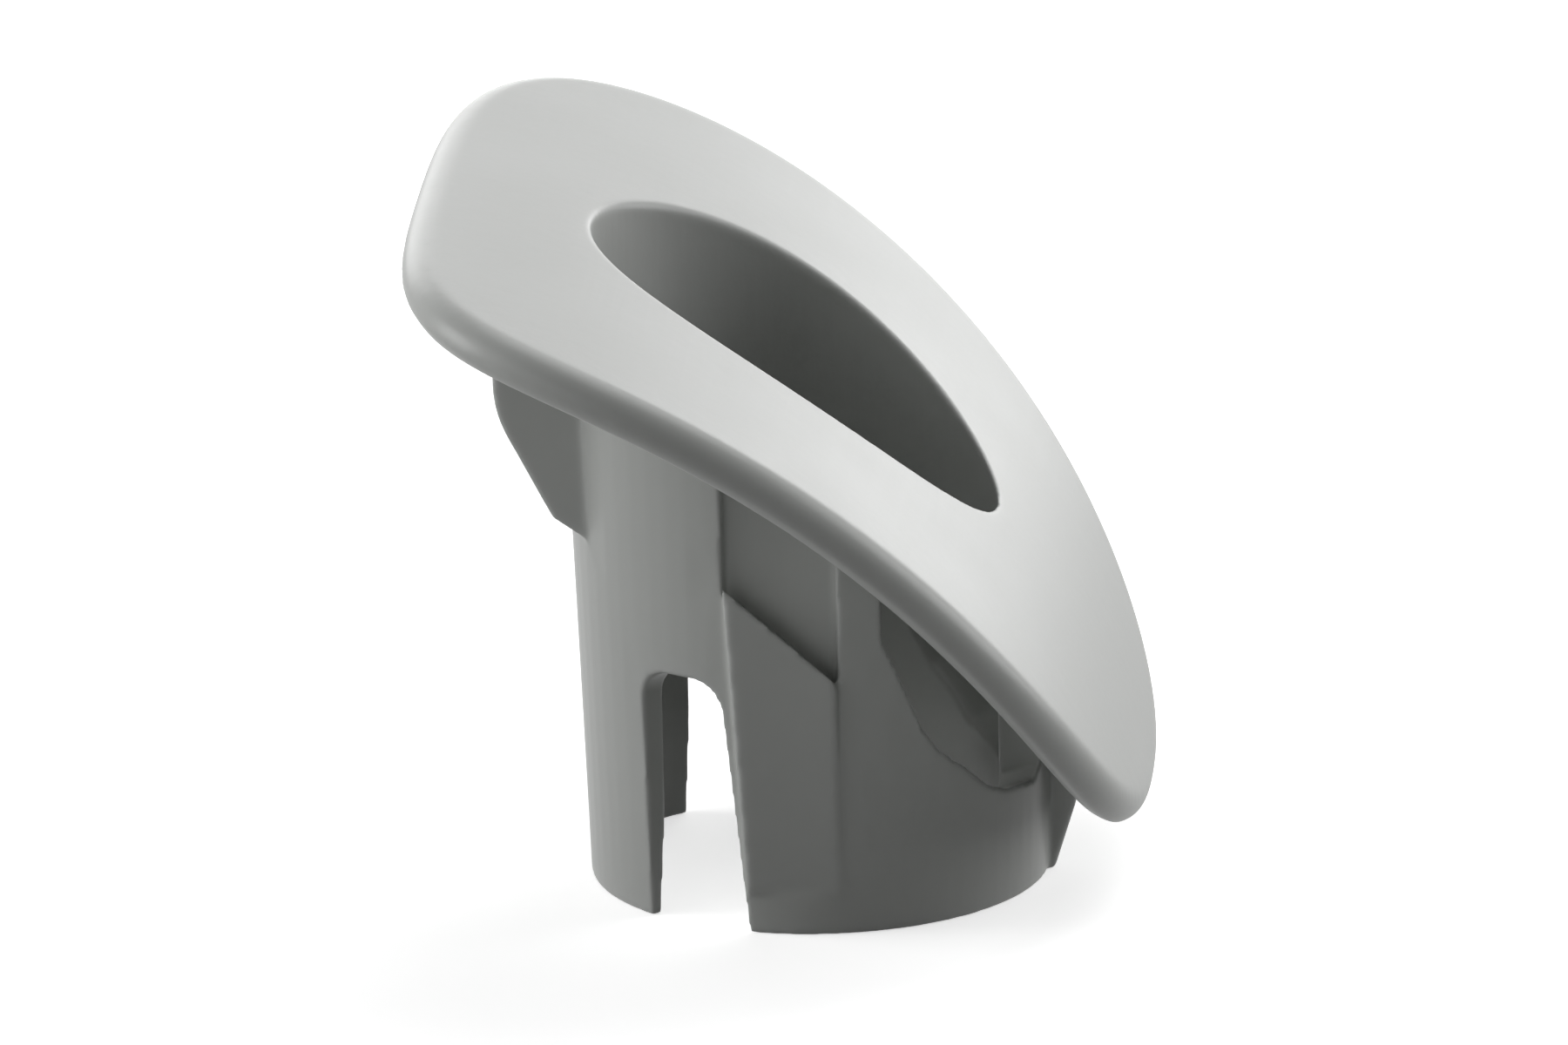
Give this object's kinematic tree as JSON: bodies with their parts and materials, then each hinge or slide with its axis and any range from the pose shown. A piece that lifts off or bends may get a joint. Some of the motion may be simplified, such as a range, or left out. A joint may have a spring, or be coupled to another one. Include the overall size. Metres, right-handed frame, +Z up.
{
  "type": "door lock pin bezel",
  "caption": "Sloping arched plastic bezel with a round opening on a split snap-in collar, made to trim a door lock pin where it leaves a door panel.",
  "frame": {"origin": "on the collar axis, level with the collar tip", "axes": "+Z runs up the collar axis towards the flange, +X points to the low end of the flange, +Y completes the frame across the flange; XZ is the plane of symmetry"},
  "size_m": [0.0256, 0.036, 0.0252],
  "materials": {
    "grey_plastic": "fine satin moulded surface"
  },
  "bodies": {
    "root": {"bezel": "grey_plastic"}
  },
  "joints": []
}
